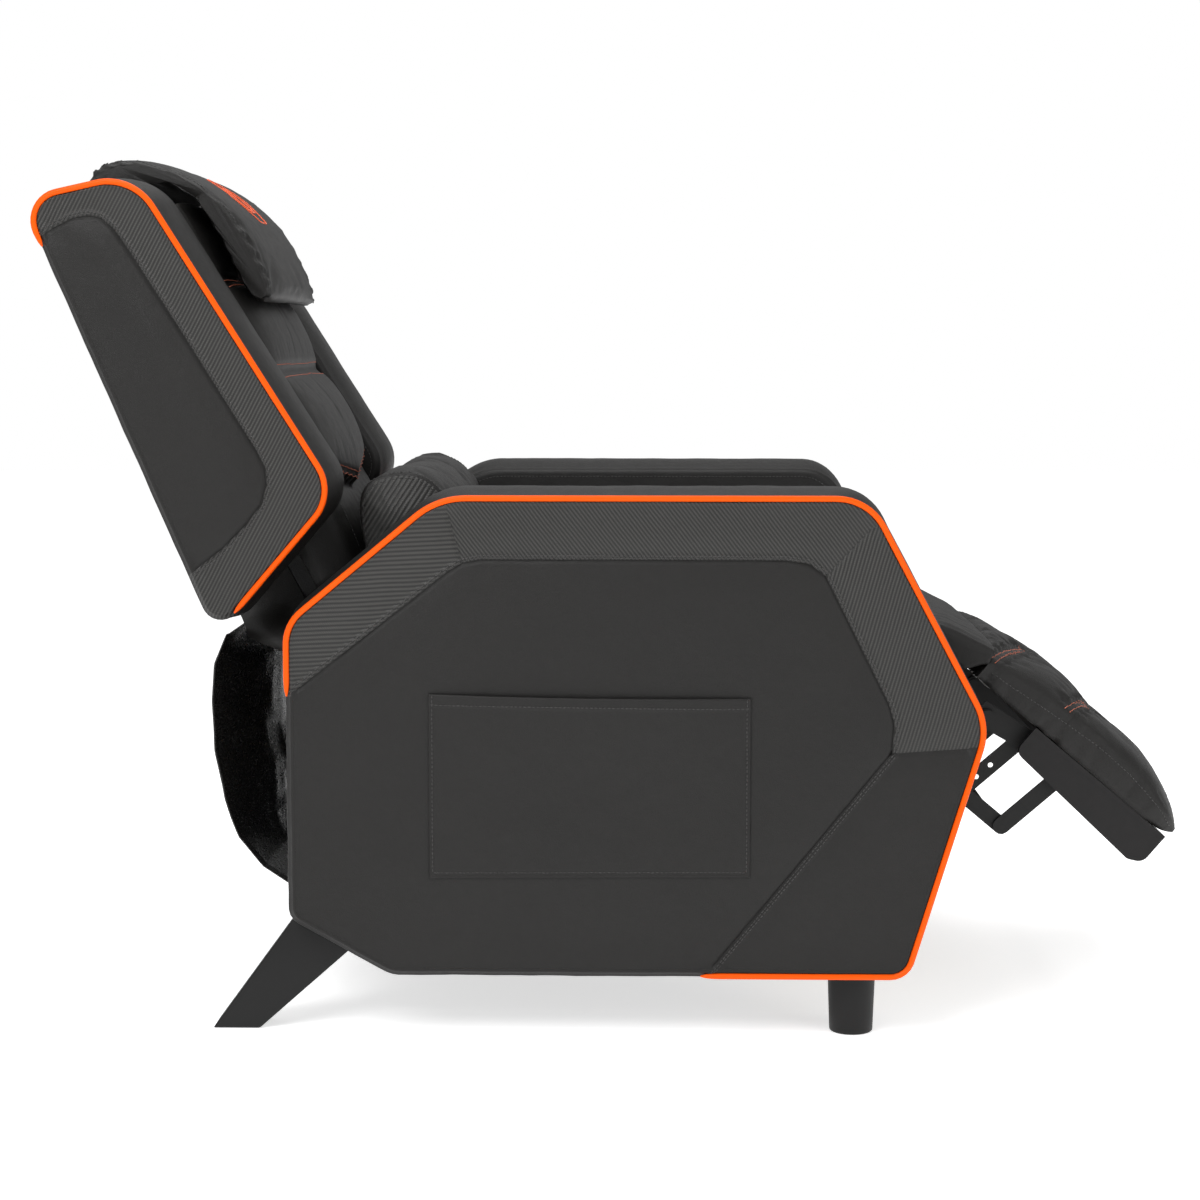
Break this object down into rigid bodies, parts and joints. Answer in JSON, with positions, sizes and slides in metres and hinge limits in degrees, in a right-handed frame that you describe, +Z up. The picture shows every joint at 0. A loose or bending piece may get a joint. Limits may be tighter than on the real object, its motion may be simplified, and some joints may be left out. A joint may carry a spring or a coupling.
{
  "type": "gaming chair",
  "caption": "Push-back reclining lounge chair with padded side arms, winged back, head and lumbar pillows, side pocket and swing-out footrest on steel straps.",
  "frame": {"origin": "on the floor, in the middle of the chair's length and width as posed, part reclined with the footrest out", "axes": "-Y forwards (the way the sitter faces), +X to the sitter's left, +Z up"},
  "size_m": [0.8012, 1.3346, 1.0264],
  "materials": {
    "leatherette": "satin",
    "piping": "satin",
    "timber": "raw",
    "leg_plastic": "matte",
    "tray_board": "black laminated",
    "spring_wire": "plain",
    "lining": "matte",
    "black_steel": "satin black"
  },
  "bodies": {
    "base": {"arm_board_left": "timber", "arm_board_right": "timber", "arm_cover_left": "leatherette", "arm_cover_right": "leatherette", "arm_panel_left": "timber", "arm_panel_right": "timber", "arm_piping_left": "piping", "arm_piping_right": "piping", "arm_rail_left": "timber", "arm_rail_right": "timber", "dust_cover": "lining", "front_leg_left": "leg_plastic", "front_leg_right": "leg_plastic", "front_rail": "timber", "rail_foot_left": "timber", "rail_foot_right": "timber", "rear_curtain": "leatherette", "rear_leg_left": "leg_plastic", "rear_leg_right": "leg_plastic", "rear_rail": "timber", "recline_plate_left": "black_steel", "recline_plate_right": "black_steel", "seat_bar_front": "black_steel", "seat_bar_rear": "black_steel", "seat_cushion": "leatherette", "seat_rail_left": "black_steel", "seat_rail_right": "black_steel", "seat_spring_1": "spring_wire", "seat_spring_2": "spring_wire", "seat_spring_3": "spring_wire", "side_plate_left": "black_steel", "side_plate_right": "black_steel", "side_pocket_right": "leatherette"},
    "backrest": {"back_bracket_left": "black_steel", "back_bracket_right": "black_steel", "back_cover": "leatherette", "back_cushion": "leatherette", "back_frame": "timber", "back_piping_left": "piping", "back_piping_right": "piping", "back_wing_left": "leatherette", "back_wing_right": "leatherette", "head_pillow": "leatherette", "lumbar_pillow": "leatherette"},
    "lower_links": {"lower_link_left": "black_steel", "lower_link_right": "black_steel", "torque_tube": "black_steel"},
    "outer_links": {"outer_link_left": "black_steel", "outer_link_right": "black_steel"},
    "inner_links": {"inner_link_left": "black_steel", "inner_link_right": "black_steel"},
    "stay_links": {"stay_link_left": "black_steel", "stay_link_right": "black_steel"},
    "footrest": {"footrest_pad": "leatherette", "footrest_tray": "tray_board", "tray_bracket_left": "black_steel", "tray_bracket_right": "black_steel"},
    "flap": {"footrest_flap": "leatherette"}
  },
  "joints": [
    {"name": "recline", "type": "hinge", "parent": "base", "child": "backrest", "pos_m": [0, 0.26041, 0.4], "axis": [-1, 0, 0], "range_deg": [-22, 40], "deforming": ["rear_curtain"]},
    {"name": "footrest_swing", "type": "hinge", "parent": "base", "child": "lower_links", "pos_m": [0, -0.36184, 0.30435], "axis": [-1, 0, 0], "range_deg": [-45, 20]},
    {"name": "outer_swing", "type": "hinge", "parent": "lower_links", "child": "outer_links", "pos_m": [0, -0.45759, 0.224], "axis": [-1, 0, 0], "range_deg": [-36.05, 81.05]},
    {"name": "inner_swing", "type": "hinge", "parent": "lower_links", "child": "inner_links", "pos_m": [0, -0.40857, 0.26514], "axis": [-1, 0, 0], "range_deg": [-36.05, 81.05]},
    {"name": "tray_swing", "type": "hinge", "parent": "outer_links", "child": "footrest", "pos_m": [0, -0.53307, 0.28961], "axis": [-1, 0, 0], "range_deg": [-81.05, 36.05]},
    {"name": "stay_swing", "type": "hinge", "parent": "base", "child": "stay_links", "pos_m": [0, -0.33959, 0.244], "axis": [-1, 0, 0], "range_deg": [-12.33, 27.68]},
    {"name": "flap_fold", "type": "hinge", "parent": "footrest", "child": "flap", "pos_m": [0, -0.43933, 0.43614], "axis": [-1, 0, 0], "range_deg": [-28.05, 63.05]}
  ],
  "couplings": [
    {"joint": "outer_swing", "follows": "footrest_swing", "ratio": -1.8},
    {"joint": "inner_swing", "follows": "footrest_swing", "ratio": -1.8},
    {"joint": "tray_swing", "follows": "footrest_swing", "ratio": 1.8},
    {"joint": "stay_swing", "follows": "footrest_swing", "ratio": -0.6139},
    {"joint": "flap_fold", "follows": "footrest_swing", "ratio": -1.4}
  ]
}
